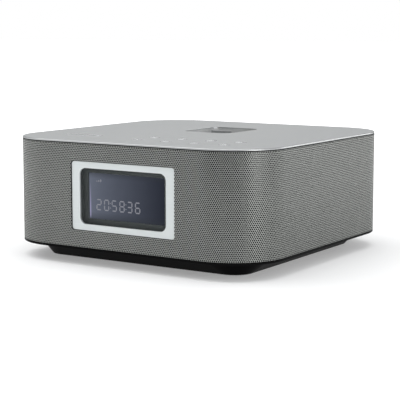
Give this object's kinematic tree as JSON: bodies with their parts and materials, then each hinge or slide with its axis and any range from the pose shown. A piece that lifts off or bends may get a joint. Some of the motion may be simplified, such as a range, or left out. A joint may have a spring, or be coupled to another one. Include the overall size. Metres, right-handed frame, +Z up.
{
  "type": "mini hifi system",
  "caption": "Compact one-piece tabletop hi-fi with a wrap-round perforated grille, framed front display, top keys and a player dock.",
  "frame": {"origin": "on the surface it stands on, under the middle of the case", "axes": "+Z up, -Y out of the front with the display, +X to the right as seen from the front"},
  "size_m": [0.265, 0.261, 0.1098],
  "materials": {
    "plate_aluminium": "satin anodised",
    "key_silver": "satin silver lacquer",
    "grille_steel": "silver grey paint",
    "acoustic_cloth": "fine black weave",
    "black_plastic": "fine grained moulding",
    "base_black": "semi-gloss black moulding",
    "foot_rubber": "matt",
    "bezel_silver": "pale satin lacquer",
    "window_clear": "polished, lightly tinted",
    "lcd_glass": "polished",
    "light_guide": "milky",
    "board_green": "solder mask",
    "switch_black": "moulded",
    "well_silver": "satin silver lacquer",
    "connector_black": "moulded",
    "basket_steel": "black paint",
    "magnet_steel": "zinc plated",
    "coil_copper": "enamelled copper",
    "spider_cloth": "resin-stiffened",
    "cone_paper": "pressed pulp",
    "surround_rubber": "matt",
    "sink_aluminium": "as extruded",
    "tin_plate": "tin plated",
    "socket_black": "moulded",
    "screw_black": "black oxide",
    "screw_zinc": "zinc plated"
  },
  "bodies": {
    "case": {"top_plate": "plate_aluminium", "top_frame": "black_plastic", "grille": "grille_steel", "grille_cloth": "acoustic_cloth", "cabinet": "black_plastic", "rear_panel": "black_plastic", "base_tray": "base_black", "feet": "foot_rubber", "display_bezel": "bezel_silver", "display_window": "window_clear", "display_holder": "black_plastic", "lcd_panel": "lcd_glass", "lcd_backlight": "light_guide", "display_board": "board_green", "key_board": "board_green", "key_switches": "switch_black", "dock_well": "well_silver", "dock_board": "board_green", "left_baffle": "black_plastic", "left_box": "black_plastic", "left_basket": "basket_steel", "left_magnet": "magnet_steel", "left_spider": "spider_cloth", "left_surround": "surround_rubber", "right_baffle": "black_plastic", "right_box": "black_plastic", "right_basket": "basket_steel", "right_magnet": "magnet_steel", "right_spider": "spider_cloth", "right_surround": "surround_rubber", "main_board": "board_green", "heat_sink": "sink_aluminium", "tuner_module": "tin_plate", "power_board": "board_green", "power_inlet": "socket_black", "aerial_socket": "tin_plate", "line_in_jack": "socket_black", "case_screws": "screw_black", "rear_screws": "screw_black", "speaker_screws": "screw_black", "board_screws": "screw_zinc", "key_board_screws": "screw_zinc"},
    "key_1": {"key_1": "key_silver"},
    "key_2": {"key_2": "key_silver"},
    "key_3": {"key_3": "key_silver"},
    "key_4": {"key_4": "key_silver"},
    "key_5": {"key_5": "key_silver"},
    "key_6": {"key_6": "key_silver"},
    "key_7": {"key_7": "key_silver"},
    "key_8": {"key_8": "key_silver"},
    "long_key": {"long_key": "key_silver"},
    "dock_connector": {"dock_connector": "connector_black"},
    "left_cone_unit": {"left_cone": "cone_paper", "left_dust_cap": "cone_paper", "left_voice_coil": "coil_copper"},
    "right_cone_unit": {"right_cone": "cone_paper", "right_dust_cap": "cone_paper", "right_voice_coil": "coil_copper"}
  },
  "joints": [
    {"name": "key_1_press", "type": "slide", "parent": "case", "child": "key_1", "axis": [0, 0, -1], "range_m": [0, 0.0006], "stiffness_N_per_m": 400},
    {"name": "key_2_press", "type": "slide", "parent": "case", "child": "key_2", "axis": [0, 0, -1], "range_m": [0, 0.0006], "stiffness_N_per_m": 400},
    {"name": "key_3_press", "type": "slide", "parent": "case", "child": "key_3", "axis": [0, 0, -1], "range_m": [0, 0.0006], "stiffness_N_per_m": 400},
    {"name": "key_4_press", "type": "slide", "parent": "case", "child": "key_4", "axis": [0, 0, -1], "range_m": [0, 0.0006], "stiffness_N_per_m": 400},
    {"name": "key_5_press", "type": "slide", "parent": "case", "child": "key_5", "axis": [0, 0, -1], "range_m": [0, 0.0006], "stiffness_N_per_m": 400},
    {"name": "key_6_press", "type": "slide", "parent": "case", "child": "key_6", "axis": [0, 0, -1], "range_m": [0, 0.0006], "stiffness_N_per_m": 400},
    {"name": "key_7_press", "type": "slide", "parent": "case", "child": "key_7", "axis": [0, 0, -1], "range_m": [0, 0.0006], "stiffness_N_per_m": 400},
    {"name": "key_8_press", "type": "slide", "parent": "case", "child": "key_8", "axis": [0, 0, -1], "range_m": [0, 0.0006], "stiffness_N_per_m": 400},
    {"name": "long_key_press", "type": "slide", "parent": "case", "child": "long_key", "axis": [0, 0, -1], "range_m": [0, 0.0006], "stiffness_N_per_m": 400},
    {"name": "dock_connector_tilt", "type": "hinge", "parent": "case", "child": "dock_connector", "pos_m": [0, 0.034, 0.0973], "axis": [1, 0, 0], "range_deg": [-6, 6], "stiffness_Nm_per_rad": 0.05},
    {"name": "left_cone_stroke", "type": "slide", "parent": "case", "child": "left_cone_unit", "axis": [0, -1, 0], "range_m": [-0.0015, 0.0015], "stiffness_N_per_m": 1500},
    {"name": "right_cone_stroke", "type": "slide", "parent": "case", "child": "right_cone_unit", "axis": [0, -1, 0], "range_m": [-0.0015, 0.0015], "stiffness_N_per_m": 1500}
  ]
}
